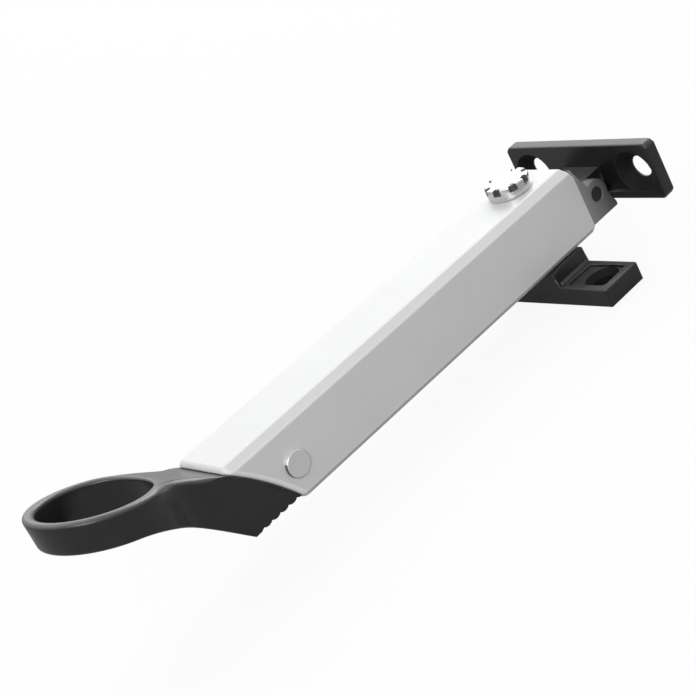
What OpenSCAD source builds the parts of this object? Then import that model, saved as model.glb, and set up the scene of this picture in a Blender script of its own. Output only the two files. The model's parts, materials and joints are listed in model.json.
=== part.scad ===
// Push-out window stay for a top-hung sash. +X right, +Y out towards the sash, +Z up.
// The origin is the centre of the sill bracket's underside.

/* [Tube] */
// Outside width of the tube
tube_w = 16; // [15:0.5:20]
// Outside height of the tube
tube_h = 16; // [15.5:0.5:18]
// Wall of the tube
tube_wall = 1.2; // [1:0.1:1.4]
// Bevel along the four long edges of the tube
tube_bevel = 1.5; // [1:0.1:2]
// From the bracket's centre to the outer end of the tube
tube_out = 9.6; // [9:0.1:14]
// From the bracket's centre to the inner end of the tube, measured along its top
tube_in = 90; // [80:0.5:150]
// Width of the slot along the tube's underside
slot_w = 6; // [5.8:0.1:7]
// How far the top of the tube's outer end is cut back
end_back = 1.5; // [0.5:0.1:2]
// How far down the side that cut back reaches
end_drop = 3; // [2:0.1:4]
// How far the two guide ribs stand in from the side walls
rib_d = 1; // [0.6:0.1:1.2]
// Thickness of a guide rib
rib_t = 1; // [0.8:0.1:1.2]
// How much further out the inner end's hollow cut reaches at the underside
cut_run = 12.4; // [10:0.1:13]
// Radius of the hollow cut
cut_r = 62; // [40:0.5:80]

/* [Sill bracket] */
// Length of the bracket across the stay
sill_l = 40.2; // [40:0.1:60]
// Width of the bracket along the stay
sill_w = 10.3; // [10:0.1:14]
// Thickness of the foot
sill_t = 4; // [3.5:0.1:5]
// Height of the tube's underside above the sill
tube_lift = 7.7; // [7.5:0.1:12]
// Distance between the two sill screws
sill_pitch = 29.4; // [29:0.1:34]
// Half width of the upstand at its foot
upstand_hw = 7.2; // [6.5:0.1:7.5]
// Lean of the upstand's sides, as a loss of half width up its height
upstand_lean = 0.4; // [0:0.1:0.8]
// Clear height between the upstand's crown and the tube
upstand_gap = 0.4; // [0.3:0.1:0.8]
// Fall of the crown towards its inner edge, which lets the tube tilt
crown_fall = 0.5; // [0.5:0.1:1]
// From the pivot inwards to where that fall begins
crown_in = 1.7; // [1.2:0.1:2.2]
// Radius of the small bead along the foot of the upstand
bead_r = 0.7; // [0.4:0.1:0.8]
// Depth of the recess round each sill screw
recess_d = 0.5; // [0.3:0.1:1]
// Rim left round the recess
recess_rim = 1.6; // [1.2:0.1:1.7]

/* [Screw holes] */
// Radius of the screw holes in bracket and plate
screw_r = 2.4; // [2:0.1:2.6]
// Radius of the bracket's countersinks at the surface
csk_r = 3.6; // [3.2:0.1:3.8]
// Radius of the plate's countersinks, which go nearly through
plate_csk_r = 4.7; // [4:0.1:4.8]

/* [Tilt pivot] */
// Height of the pivot pin above the inside floor of the tube
pivot_up = 5.1; // [5:0.1:5.3]
// Radius of both cross pins
pin_r = 1.5; // [1.2:0.1:1.6]
// Half width of the bracket's lug
lug_hw = 2.5; // [2.2:0.1:2.5]
// Radius of the lug round the pivot pin
lug_r = 2.7; // [2.5:0.1:2.8]
// Room each side for the lug to swing inside the shoe
lug_swing = 0.9; // [0.7:0.1:1.1]

/* [Slider shoe] */
// Height of the shoe
shoe_h = 9; // [8.9:0.1:9.3]
// From the pivot to the outer end of the shoe
shoe_out = 6; // [5:0.1:6.5]
// From the pivot to the inner end of the shoe
shoe_in = 10; // [9.5:0.1:16]
// Wall between the pivot's bore and a spring pocket
spring_wall = 0.6; // [0.4:0.1:0.8]
// Length of a side spring between its feet
spring_l = 6.4; // [6:0.1:6.6]
// Bow of a side spring
spring_bow = 0.55; // [0.4:0.05:0.6]
// Thickness of the spring strip
spring_t = 0.3; // [0.2:0.05:0.3]
// Width of the spring strip
spring_w = 4.6; // [3:0.1:5]

/* [End nose] */
// From the tube's outer end to the hinge pin
hinge_out = 4; // [4:0.1:5]
// Height of the hinge pin above the tube's underside
hinge_up = 6.5; // [6:0.1:7]
// From the hinge pin to the nose's lower front corner
nose_tip = 4; // [3.6:0.1:4.2]
// Height of the upright face at that corner
nose_lip = 0.9; // [0.6:0.1:1.2]
// Where the nose's front runs into the round cheeks, as an angle below level
nose_front_angle = 20; // [15:1:25]
// Where the nose's slope runs into the round cheeks, as an angle above level
nose_back_angle = 60; // [50:1:70]
// Wall of the nose's inner tongue round the thread insert
tongue_wall = 2; // [1.5:0.1:3]
// Radius of the cheeks round the hinge pin
cheek_r = 3.1; // [2.9:0.1:3.3]
// Half width of the plate's tongue, between the cheeks
tongue_hw = 4.9; // [4:0.1:5.2]

/* [Sash plate] */
// Length of the plate
plate_l = 40.2; // [40:0.1:60]
// Height of the plate
plate_h = 12.7; // [12:0.1:16]
// Thickness of the plate
plate_t = 2.9; // [2.5:0.1:4]
// From the hinge pin to the plate's front face
plate_out = 5.5; // [5.3:0.1:7]
// From the hinge pin down to the plate's lower edge
plate_drop = 4.8; // [4:0.1:6]
// Distance between the two sash screws
plate_pitch = 28.6; // [28:0.1:32]
// Cut corners of the plate
plate_corner = 0.9; // [0.5:0.1:1.5]
// Rise of the tongue's gusset where it meets the plate, above the pin
gusset_up = 3; // [2.9:0.1:5.5]

/* [Lock screw] */
// Radius of the castellated head
head_r = 4.7; // [4.5:0.1:5.5]
// Height of the head
head_h = 2.7; // [2.4:0.1:3.6]
// Number of notches round the head
head_notches = 8; // [6:1:10]
// Width of a notch
notch_w = 1.6; // [1:0.1:1.8]
// Depth of a notch down from the top
notch_d = 1.2; // [0.6:0.1:1.4]
// How far a notch reaches in from the rim
notch_in = 1.1; // [0.8:0.1:1.4]
// Turn of the first notch round from +X, with the screw done up
head_turn = 15; // [0:1:44]
// Radius of the screw's shank
shank_r = 2; // [1.8:0.1:2]
// Outer radius of the threaded insert
insert_r = 3.2; // [3:0.1:3.5]
// Outer radius of the captive washer, in a recess under the head
washer_r = 3.8; // [3.6:0.1:4]
// Thickness of the captive washer
washer_t = 0.4; // [0.3:0.1:0.6]

/* [Ring handle] */
// Radius of the finger hole
ring_in_r = 10.1; // [9:0.1:10.5]
// Outer radius of the ring
ring_out_r = 12.3; // [12:0.1:13]
// Upright height of the ring's wall
ring_h = 6.6; // [5:0.1:7]
// From the tube's inner end to the centre of the finger hole
ring_reach = 20.7; // [19:0.1:26]
// Height of the ring's top over the tube's underside, at the hole's centre
ring_lift = 24.9; // [23:0.1:27]
// Upward tilt of the ring
ring_tilt = 17; // [12:0.5:20]
// Steepness of the neck's top where it leaves the tube
neck_top_angle = 31; // [26:1:34]
// Steepness of the neck's underside where it leaves the shoulder
neck_low_angle = 46; // [43:1:54]
// How far the neck's top keeps its end directions, as a share of the ring's reach
neck_top_ease = 0.25; // [0.2:0.01:0.3]
// How far the neck's underside keeps its end directions, as a share of the ring's reach
neck_low_ease = 0.41; // [0.38:0.01:0.46]
// Where the neck's sides meet the ring, as an angle round from the ring's widest place
neck_flare = 35; // [30:1:40]
// Half width of the neck at its waist
waist_hw = 7; // [6:0.1:8]
// From the tube's inner end to the waist
waist_in = 5.5; // [4:0.1:7]
// How far the shoulder reaches past the tube's inner end
shoulder_in = 0.8; // [0.4:0.1:2]
// How far the undersides of handle and nose stand up from the tube's underside
under_inset = 1.5; // [1.2:0.1:1.8]
// How far the sides of handle and nose stand in from the tube's sides
side_inset = 0.3; // [0.1:0.1:0.5]
// Length of the handle's plug inside the tube
plug_l = 19.5; // [18:0.1:24]
// Number of rounded serrations along the underside of the shoulder
teeth = 6; // [4:1:8]
// Depth of the notches between the serrations
tooth_d = 0.4; // [0.3:0.1:0.6]

/* [Rivet] */
// From the plug's outer end back to the rivet
rivet_back = 6.1; // [5:0.1:7]
// Height of the rivet above the tube's underside
rivet_up = 7.3; // [6.5:0.1:8]
// Radius of the rivet's head
rivet_head_r = 2.7; // [2.4:0.1:3.3]
// Height of the rivet's head
rivet_head_h = 0.7; // [0.5:0.1:1.2]
// Bevel round the rivet's head
rivet_bevel = 0.3; // [0.1:0.1:0.4]
// Radius of the rivet's shank
rivet_r = 1.6; // [1.2:0.1:1.8]

/* [Clearances] */
// Running clearance of the shoe and plugs in the tube
slide_gap = 0.15; // [0.1:0.01:0.2]
// Radial running clearance of a turning pin or screw
turn_gap = 0.05; // [0.03:0.01:0.08]
// Radial clearance of a pin or rivet held still in its hole
held_gap = 0.02; // [0.01:0.01:0.04]
// Side clearance of the lug and the tongue in their forks
fork_gap = 0.2; // [0.1:0.05:0.3]
// Gap between parts that pass or stop short of each other
free_gap = 0.3; // [0.3:0.05:0.4]

/* [Hidden] */
$fn = 64;
cut_eps = 1;
curve_n = 14;
arc_n = 180;

tube_top = tube_lift + tube_h;
bore_hw = tube_w / 2 - tube_wall;
bore_low = tube_lift + tube_wall;
bore_top = tube_top - tube_wall;
bore_bevel = tube_bevel - tube_wall * (2 - sqrt(2));
shoe_low = bore_low + slide_gap;
shoe_top = shoe_low + shoe_h;
rib_low = shoe_top + slide_gap;
pivot_z = bore_low + pivot_up;
hinge_y = tube_out + hinge_out;
hinge_z = tube_lift + hinge_up;
plate_y = hinge_y + plate_out;
plate_low = hinge_z - plate_drop;
plate_mid = plate_low + plate_h / 2;
cheek_in = tongue_hw + fork_gap;
side_hw = tube_w / 2 - side_inset;
ring_y = -tube_in - ring_reach;
ring_top = tube_lift + ring_lift;
under_z = tube_lift + under_inset;
rivet_y = -tube_in + plug_l - rivet_back;
rivet_z = tube_lift + rivet_up;

// The hollow cut: an arc from the top of the bore wall down to the underside
cut_drop = bore_top - tube_lift;
cut_chord = norm([cut_run, cut_drop]);
cut_hollow = sqrt(cut_r * cut_r - cut_chord * cut_chord / 4);
cut_y = -tube_in + cut_run / 2 - cut_hollow * cut_drop / cut_chord;
cut_z = tube_lift + cut_drop / 2 - cut_hollow * cut_run / cut_chord;

// Bezier point for the ends a and d and the handles b and c
function bez(a, b, c, d, t) =
    a * pow(1 - t, 3) + b * 3 * t * pow(1 - t, 2) + c * 3 * t * t * (1 - t) + d * pow(t, 3);
function bez_line(a, b, c, d) = [for (i = [0 : curve_n]) bez(a, b, c, d, i / curve_n)];
// Height of the ring's top plane at a place along the stay
function ring_plane(y) = ring_top + (ring_y - y) * tan(ring_tilt);

// A flat outline in (y, z), carried across the stay from x0 to x1
module along_x(x0, x1) {
    translate([x0, 0, 0]) rotate([90, 0, 90]) linear_extrude(x1 - x0) children();
}

// A flat outline in (x, z), carried along the stay from y0 to y1
module along_y(y0, y1) {
    translate([0, y1, 0]) rotate([90, 0, 0]) linear_extrude(y1 - y0) children();
}

module rod_x(x0, x1, y, z, r) {
    translate([x0, y, z]) rotate([0, 90, 0]) cylinder(h = x1 - x0, r = r);
}

// Rectangle about the stay's middle line with its corners bevelled
module bevelled(hw, low, top, bevel) {
    polygon([[-hw + bevel, low], [hw - bevel, low], [hw, low + bevel], [hw, top - bevel],
             [hw - bevel, top], [-hw + bevel, top], [-hw, top - bevel], [-hw, low + bevel]]);
}

// Section of the tube's bore between the walls and ribs, drawn in by a clearance
module bore_section(gap) {
    difference() {
        bevelled(bore_hw - gap, bore_low + gap, bore_top - gap, bore_bevel);
        for (side = [-1, 1])
            translate([side * bore_hw, rib_low + rib_t / 2])
                square([2 * (rib_d + gap), rib_t + 2 * gap], center = true);
    }
}

// Screw hole with a countersink, its mouth at z = 0 and its depth down the -Z axis
module screw_hole(depth, mouth_r) {
    translate([0, 0, -depth - cut_eps]) cylinder(h = depth + 2 * cut_eps, r = screw_r);
    translate([0, 0, screw_r - mouth_r])
        cylinder(h = mouth_r - screw_r, r1 = screw_r, r2 = mouth_r);
    cylinder(h = cut_eps, r = mouth_r);
}

module sill_foot() {
    recess_x0 = upstand_hw + 2 * bead_r;
    recess_x1 = sill_l / 2 - recess_rim;
    difference() {
        translate([-sill_l / 2, -sill_w / 2, 0]) cube([sill_l, sill_w, sill_t]);
        for (side = [-1, 1]) {
            translate([side * sill_pitch / 2, 0, sill_t - recess_d]) screw_hole(sill_t, csk_r);
            translate([side * (recess_x0 + recess_x1) / 2, 0, sill_t])
                cube([recess_x1 - recess_x0, sill_w - 2 * recess_rim, 2 * recess_d], center = true);
        }
    }
}

module upstand() {
    crown = tube_lift - upstand_gap;
    top_hw = upstand_hw - upstand_lean;
    intersection() {
        along_y(-sill_w / 2, sill_w / 2)
            polygon([[-upstand_hw, 0], [upstand_hw, 0], [upstand_hw, sill_t],
                     [top_hw, crown], [-top_hw, crown], [-upstand_hw, sill_t]]);
        along_x(-sill_l / 2, sill_l / 2)
            polygon([[-sill_w / 2, 0], [sill_w / 2, 0], [sill_w / 2, crown],
                     [-crown_in, crown], [-sill_w / 2, crown - crown_fall]]);
    }
}

module sill_bracket() {
    color([0.16, 0.16, 0.17]) difference() {
        union() {
            sill_foot();
            upstand();
            for (side = [-1, 1])
                translate([side * upstand_hw, sill_w / 2 - bead_r, sill_t])
                    rotate([90, 0, 0]) cylinder(h = sill_w - 2 * bead_r, r = bead_r);
            along_x(-lug_hw, lug_hw) {
                translate([-lug_r, sill_t]) square([2 * lug_r, pivot_z - sill_t]);
                translate([0, pivot_z]) circle(r = lug_r);
            }
        }
        rod_x(-sill_l, sill_l, 0, pivot_z, pin_r + held_gap);
    }
}

module pivot_pin() {
    half = bore_hw - slide_gap - free_gap;
    color([0.72, 0.72, 0.73]) rod_x(-half, half, 0, pivot_z, pin_r);
}

// Pocket for a side spring, between the pivot bore and the shoe's inner end
pocket_l = spring_l + 2 * free_gap;
pocket_out = -pin_r - spring_wall;
pocket_d = spring_t + spring_bow + slide_gap;
spring_y = pocket_out - pocket_l / 2;
shoe_hw = bore_hw - slide_gap;

module slider_shoe() {
    lug_room = lug_r + lug_swing;
    pocket_h = spring_w + 2 * free_gap;
    shoe_mid = (shoe_low + shoe_top) / 2;
    color([0.85, 0.84, 0.8]) difference() {
        along_y(-shoe_in, shoe_out)
            bevelled(shoe_hw, shoe_low, shoe_top, bore_bevel);
        along_x(-lug_hw - fork_gap, lug_hw + fork_gap)
            translate([-lug_room, shoe_low - cut_eps])
                square([2 * lug_room, pivot_z + lug_r + free_gap - shoe_low + cut_eps]);
        rod_x(-tube_w, tube_w, 0, pivot_z, pin_r + turn_gap);
        for (side = [-1, 1])
            translate([side * shoe_hw, spring_y, shoe_mid])
                cube([2 * pocket_d, pocket_l, pocket_h], center = true);
    }
}

// Bowed strip: a slice of a thin upright ring, standing on its pocket's floor
module spring(side) {
    outer = spring_l * spring_l / (8 * spring_bow) + spring_bow / 2;
    floor_x = shoe_hw - pocket_d + held_gap;
    color([0.62, 0.63, 0.65]) intersection() {
        translate([side * (floor_x + spring_t + spring_bow - outer), spring_y,
                   (shoe_low + shoe_top - spring_w) / 2])
            difference() {
                cylinder(h = spring_w, r = outer, $fn = 128);
                translate([0, 0, -cut_eps])
                    cylinder(h = spring_w + 2 * cut_eps, r = outer - spring_t, $fn = 128);
            }
        translate([side * (floor_x + outer), spring_y, (shoe_low + shoe_top) / 2])
            cube([2 * outer, spring_l, 2 * spring_w], center = true);
    }
}

module tube() {
    color([0.86, 0.87, 0.88]) difference() {
        along_y(-tube_in, tube_out) difference() {
            bevelled(tube_w / 2, tube_lift, tube_top, tube_bevel);
            bore_section(0);
            translate([-slot_w / 2, tube_lift - cut_eps]) square([slot_w, tube_wall + 2 * cut_eps]);
        }
        rod_x(-tube_w, tube_w, cut_y, cut_z, cut_r, $fn = arc_n);
        rod_x(-tube_w, tube_w, rivet_y, rivet_z, rivet_r + held_gap);
        translate([0, 0, bore_top - cut_eps]) cylinder(h = tube_h, r = insert_r + held_gap);
        along_x(-tube_w, tube_w)
            polygon([[tube_out - end_back, tube_top], [tube_out - end_back, tube_top + cut_eps],
                     [tube_out + cut_eps, tube_top + cut_eps],
                     [tube_out + cut_eps, tube_top - end_drop], [tube_out, tube_top - end_drop]]);
    }
}

// Side view of the neck and ring, closed along the tube's inner end
module neck_profile() {
    top_end = [ring_y + ring_out_r / 2, ring_plane(ring_y + ring_out_r / 2)];
    low_end = [ring_y - ring_out_r / 8, ring_plane(ring_y - ring_out_r / 8) - ring_h];
    top_a = [-tube_in, bore_top - slide_gap];
    low_a = [-tube_in - shoulder_in, under_z];
    reach = neck_top_ease * ring_reach;
    low_reach = neck_low_ease * ring_reach;
    far = ring_y - ring_out_r - cut_eps;
    polygon(concat(
        bez_line(top_a, top_a + reach * [-cos(neck_top_angle), sin(neck_top_angle)],
                 top_end + reach * [cos(ring_tilt), -sin(ring_tilt)], top_end),
        [[far, ring_plane(far)], [far, ring_plane(far) - ring_h]],
        bez_line(low_end, low_end + low_reach * [cos(ring_tilt), -sin(ring_tilt)],
                 low_a + low_reach * [-cos(neck_low_angle), sin(neck_low_angle)], low_a),
        [[-tube_in, under_z]]));
}

// Side view of the shoulder that fills the tube's hollow cut, with its grip serrations
module shoulder_profile() {
    y0 = -tube_in - shoulder_in;
    low = under_z + tooth_d;
    half = (cut_run + shoulder_in) / (2 * teeth);
    tooth_r = (half * half + tooth_d * tooth_d) / (2 * tooth_d);
    intersection() {
        union() {
            translate([y0, low]) square([cut_run + shoulder_in, bore_top - slide_gap - low]);
            for (i = [0 : teeth - 1])
                translate([y0 + (2 * i + 1) * half, under_z + tooth_r]) circle(r = tooth_r);
        }
        translate([cut_y, cut_z]) circle(r = cut_r - held_gap, $fn = arc_n);
    }
}

// Plan of the handle: the ring's disc, and a neck that widens into it
module handle_plan() {
    start = [side_hw, -tube_in - shoulder_in];
    waist = [waist_hw, -tube_in - waist_in];
    meet = [ring_out_r * cos(neck_flare), ring_y + ring_out_r * sin(neck_flare)];
    half = [0, (start[1] - waist[1]) / 2];
    reach = (waist[1] - meet[1]) / 2;
    side = concat(bez_line(start, start - half, waist + half, waist),
                  bez_line(waist, waist - [0, reach],
                           meet + reach * [-sin(neck_flare), cos(neck_flare)], meet));
    translate([0, ring_y]) circle(r = ring_out_r, $fn = 96);
    polygon(concat([[side_hw, -tube_in + cut_run + cut_eps]], side, [[0, ring_y]],
                   [for (i = [len(side) - 1 : -1 : 0]) [-side[i][0], side[i][1]]],
                   [[-side_hw, -tube_in + cut_run + cut_eps]]));
}

module ring_handle() {
    color([0.17, 0.17, 0.18]) difference() {
        union() {
            intersection() {
                along_x(-2 * ring_out_r, 2 * ring_out_r) {
                    neck_profile();
                    shoulder_profile();
                }
                linear_extrude(4 * tube_h) handle_plan();
            }
            along_y(-tube_in + cut_eps, -tube_in + plug_l) intersection() {
                bore_section(slide_gap);
                translate([-tube_w, under_z + tooth_d]) square([2 * tube_w, tube_h]);
            }
            along_y(-tube_in + cut_run, -tube_in + plug_l) bore_section(slide_gap);
        }
        translate([0, ring_y, 0]) cylinder(h = 4 * tube_h, r = ring_in_r, $fn = 96);
        rod_x(-tube_w, tube_w, rivet_y, rivet_z, rivet_r + held_gap);
    }
}

// Flat head with a bevelled rim, on a tube wall at x = tube_w / 2
module rivet_head() {
    translate([tube_w / 2, rivet_y, rivet_z]) rotate([0, 90, 0]) {
        cylinder(h = rivet_head_h - rivet_bevel, r = rivet_head_r);
        translate([0, 0, rivet_head_h - rivet_bevel])
            cylinder(h = rivet_bevel, r1 = rivet_head_r, r2 = rivet_head_r - rivet_bevel);
    }
}

module handle_rivet() {
    reach = tube_w / 2 + rivet_head_h / 4;
    color([0.8, 0.81, 0.82]) {
        rod_x(-reach, reach, rivet_y, rivet_z, rivet_r);
        rivet_head();
        mirror([1, 0, 0]) rivet_head();
    }
}

// Side view of the nose's cheeks round the hinge pin
module nose_profile() {
    tip = hinge_y + nose_tip;
    front = [hinge_y + cheek_r * cos(nose_front_angle), hinge_z - cheek_r * sin(nose_front_angle)];
    back = [hinge_y - cheek_r * cos(nose_back_angle), hinge_z + cheek_r * sin(nose_back_angle)];
    polygon([[tube_out, under_z], [tip, under_z], [tip, under_z + nose_lip],
             front, [hinge_y, hinge_z], back,
             [tube_out, bore_top - slide_gap]]);
    translate([hinge_y, hinge_z]) circle(r = cheek_r);
}

module end_nose() {
    tongue_in = insert_r + tongue_wall;
    web = hinge_y - cheek_r - free_gap;
    plug_end = tube_out - free_gap;
    root_hw = bore_hw - slide_gap - free_gap;
    root_low = under_z + tube_bevel;
    root_top = hinge_z + cheek_r;
    color([0.2, 0.2, 0.21]) difference() {
        union() {
            along_x(-side_hw, side_hw) nose_profile();
            along_x(-root_hw, root_hw) translate([tube_out - cut_eps, root_low])
                square([2 * cut_eps, root_top - root_low]);
            along_y(shoe_out + free_gap, plug_end) bore_section(slide_gap);
            along_y(-tongue_in, plug_end) intersection() {
                bore_section(slide_gap);
                translate([-tube_w, rib_low + rib_t + slide_gap]) square([2 * tube_w, tube_h]);
            }
        }
        translate([-cheek_in, web, 0]) cube([2 * cheek_in, tube_in, 2 * tube_top]);
        rod_x(-tube_w, tube_w, hinge_y, hinge_z, pin_r + held_gap);
        cylinder(h = 2 * tube_top, r = insert_r + held_gap);
    }
}

module thread_insert() {
    low = rib_low + rib_t + slide_gap;
    color([0.78, 0.65, 0.35]) difference() {
        translate([0, 0, low]) cylinder(h = tube_top - low, r = insert_r);
        translate([0, 0, low - cut_eps]) cylinder(h = tube_h, r = shank_r + turn_gap);
    }
}

module hinge_pin() {
    half = side_hw - free_gap;
    color([0.72, 0.72, 0.73]) rod_x(-half, half, hinge_y, hinge_z, pin_r);
}

// Flat plate outline in (x, z) with its four corners cut
module plate_outline() {
    bevelled(plate_l / 2, plate_low, plate_low + plate_h, plate_corner);
}

module sash_plate() {
    color([0.15, 0.15, 0.16]) difference() {
        union() {
            along_y(plate_y, plate_y + plate_t) plate_outline();
            along_x(-tongue_hw, tongue_hw) {
                translate([hinge_y, hinge_z]) circle(r = cheek_r - free_gap / 2);
                polygon([[hinge_y, hinge_z - cheek_r + free_gap / 2],
                         [plate_y + plate_t / 2, hinge_z - cheek_r + free_gap / 2],
                         [plate_y + plate_t / 2, hinge_z + gusset_up],
                         [plate_y, hinge_z + gusset_up],
                         [hinge_y, hinge_z + cheek_r - free_gap / 2]]);
            }
        }
        rod_x(-tube_w, tube_w, hinge_y, hinge_z, pin_r + turn_gap);
        for (side = [-1, 1])
            translate([side * plate_pitch / 2, plate_y, plate_mid])
                rotate([90, 0, 0]) screw_hole(plate_t, plate_csk_r);
    }
}

module lock_washer() {
    color([0.75, 0.76, 0.77]) translate([0, 0, tube_top + held_gap]) difference() {
        cylinder(h = washer_t, r = washer_r);
        translate([0, 0, -cut_eps]) cylinder(h = washer_t + 2 * cut_eps, r = shank_r + free_gap);
    }
}

module lock_screw() {
    head_low = tube_top + held_gap;
    head_top = head_low + head_h;
    seat = tube_top + washer_t + 2 * held_gap;
    tip = shoe_top + free_gap;
    color([0.82, 0.83, 0.84]) {
        translate([0, 0, tip]) cylinder(h = seat - tip + cut_eps, r = shank_r);
        difference() {
            translate([0, 0, head_low]) cylinder(h = head_h, r = head_r);
            translate([0, 0, head_low - cut_eps])
                cylinder(h = seat - head_low + cut_eps, r = washer_r + turn_gap);
            for (i = [0 : head_notches - 1])
                rotate([0, 0, head_turn + i * 360 / head_notches]) translate([head_r, 0, head_top])
                    cube([2 * notch_in, notch_w, 2 * notch_d], center = true);
        }
    }
}

sill_bracket();
pivot_pin();
slider_shoe();
spring(1);  // spring_right
spring(-1);  // spring_left
tube();
ring_handle();
handle_rivet();
end_nose();
thread_insert();
hinge_pin();
sash_plate();
lock_washer();
lock_screw();
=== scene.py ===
import json
import math

import bmesh
import bpy
import numpy as np
from mathutils import Matrix, Vector


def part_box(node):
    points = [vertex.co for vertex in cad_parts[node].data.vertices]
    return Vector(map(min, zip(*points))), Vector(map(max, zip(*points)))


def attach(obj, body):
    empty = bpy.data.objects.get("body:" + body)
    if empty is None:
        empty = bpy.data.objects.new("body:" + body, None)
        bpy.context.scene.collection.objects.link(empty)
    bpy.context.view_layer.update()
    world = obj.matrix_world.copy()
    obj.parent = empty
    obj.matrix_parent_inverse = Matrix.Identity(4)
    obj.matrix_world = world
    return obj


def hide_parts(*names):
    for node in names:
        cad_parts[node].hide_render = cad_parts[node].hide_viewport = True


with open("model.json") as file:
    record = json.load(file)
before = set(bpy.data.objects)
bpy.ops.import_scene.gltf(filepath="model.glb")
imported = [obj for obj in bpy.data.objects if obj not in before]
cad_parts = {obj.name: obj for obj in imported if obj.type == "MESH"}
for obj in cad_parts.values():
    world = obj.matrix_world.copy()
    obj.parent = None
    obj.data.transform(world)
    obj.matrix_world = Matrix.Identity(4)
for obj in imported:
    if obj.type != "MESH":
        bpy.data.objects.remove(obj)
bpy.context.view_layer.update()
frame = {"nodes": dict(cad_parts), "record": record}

MM = 0.001

# The photograph's view, measured from the tube, plate and bracket edges
VIEW_AZIMUTH = 58.23
VIEW_ELEVATION = 23.40
VIEW_ROLL = -27.69
VIEW_DISTANCE = 408.5 * MM
VIEW_AIM = Vector((-9.3, -45.0, 16.8)) * MM
LENS_MM = 109.3
SENSOR_MM = 36.0

# Cleaning of a CAD copy before its edges are rounded
MERGE_DISTANCE = 0.002 * MM
FLAT_ANGLE = math.radians(0.3)
CREASE_ANGLE = math.radians(20)
EDGE_ANGLE = math.radians(34)

# How near an edge lies to the plane or face it is told by, in mm
ON_PLANE = 0.01
NEAR = 0.05

# An edge runs lengthwise when this share of its direction is along Y
LENGTHWISE = 0.99

# Finger ring and neck, in mm and degrees, with the CAD model's own curves
RING_Y = -110.7
RING_TOP = 32.6
RING_HEIGHT = 6.6
RING_INNER = 10.1
RING_OUTER = 12.3
RING_TILT = math.radians(17)
NECK_FLARE = math.radians(35)
NECK_TOP_ANGLE = math.radians(31)
NECK_LOW_ANGLE = math.radians(46)
NECK_RUN = 20.7
NECK_TOP_REACH = 0.25 * NECK_RUN
NECK_LOW_REACH = 0.41 * NECK_RUN
NECK_TOP_END = (-90.0, 22.35)
NECK_LOW_END = (-90.8, 9.2)
SHOULDER_HALF = 7.7
WAIST = (7.0, -95.5)

# The neck's skin: distances from the shoulder between which its upper rounding swells and thins,
# and its rows crowd towards the outline
SWELL = (0.0, 4.0)
THIN = (3.5, 15.0)
CROWD = (8.0, 14.0)
JOINT_FIRST_TURN = math.radians(7)
JOINT_HALF_TURN = math.radians(6.5)
SIDE_TURN_POWER = 0.8

# Points of that skin along each stretch
ARC_POINTS = 130
JOINT_POINTS = 32
HOLE_WALL_POINTS = 5
ROUND_POINTS = 9
FACE_POINTS = 25
OUTER_WALL_POINTS = 9

# Edge rounding of the moulded pieces, in mm
RING_ROUND = 1.05
RING_HOLE_ROUND = 0.85
RING_LOW_ROUND = 0.7
NECK_ROUND = 1.7
SHOULDER_ROUND = 0.2
TOOTH_ROUND = 0.1
TOOTH_BAND = 0.6
MOULD_ROUND = 0.45
MOULD_FINE_ROUND = 0.18
NOSE_ROUND = 0.3

# Steps across a rounding, and how far the larger face governs the shading at a shared corner
ROUND_SEGMENTS = 3
FLAT_FACE_WEIGHT = 90

# Tube and its edge rounding, in mm
TUBE_BEVEL = 1.5
CUT_RUN = 12.6
ARRIS_ROUND = 0.3
CUT_ROUND = 1.0
OUTER_END_ROUND = 0.35
SLOT_ROUND = 0.12
INSERT_HOLE_REACH = 3.6
OUTER_END_BAND = 2.0
SPLIT_FROM = -72
SPLIT_EVERY = 8

# Screw plate and foot: outlines, holes and countersinks, in mm
PLATE_THICK = 2.9
PLATE_FACE_BAND = 0.2
OUTLINE_BAND = 1.0
FOOT_SIDE_BAND = 0.1
FOOT_FLOOR_BAND = 0.5
PLATE_HOLE_X = 14.3
# Reach of the painted shade round each plate hole
PLATE_CONE_REACH = 5
FOOT_HOLE_X = 14.7
FOOT_SINK_REACH = 4.4
# Reach of the painted shade round each foot hole
FOOT_CONE_REACH = 3.9

# The lean of a countersink's wall, as the share of its normal that points out of the hole
CONE_SHALLOW = 0.95
CONE_STEEP = 0.3

# Lock screw, in mm
NOTCHES = 8
NOTCH_TURN = 15.0
NOTCH_WIDTH = 1.6
NOTCH_DEPTH = 1.2
NOTCH_IN = 1.1
NOTCH_WALL_SOFT = 0.09
NOTCH_LIP = 0.12
NOTCH_FOOT = 0.15
# How far the painted shade in each notch spreads past its walls and floor, how far in, and how near the top
# rounding it stops
NOTCH_SHADE_SPREAD = 0.06
NOTCH_SHADE_IN = 0.1
NOTCH_SHADE_TOP = 0.7
HEAD_ROUND = 0.3
HEAD_DISH = 0.12
HEAD_FLAT_IN = 0.3
HEAD_GAP = 0.02
HEAD_COLUMNS = 960
HEAD_ROUND_POINTS = 7
WASHER_PLAY = 0.05
SHANK_RADIUS = 2.0
THREAD_PITCH = 0.7
THREAD_DEPTH = 0.32
THREAD_SLOPE = 1.25
THREAD_CREST = 0.12
THREAD_GAP = 0.02
THREAD_OVERLAP = 0.2
THREAD_COLUMNS = 72
THREAD_ROWS = 150
TIP_LENGTH = 0.5
TIP_CHAMFER = 0.6

# Rivet, in mm
RIVET_SHANK = 1.6
RIVET_RIM = 0.3
RIVET_DISH = 0.06
RIVET_COLUMNS = 96
RIVET_ROUND_POINTS = 9
# The rivet rim's painted shade: the side it lies on, how far round it reaches, and its band
RIVET_SHADE_SIDE = (-0.75, -0.66)
RIVET_SHADE_SHARE = 0.3
RIVET_SHADE_BAND = 0.1

# Colours that the shader effects mix in
CLOUD_GREY = (0.07, 0.07, 0.072, 1)
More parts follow.
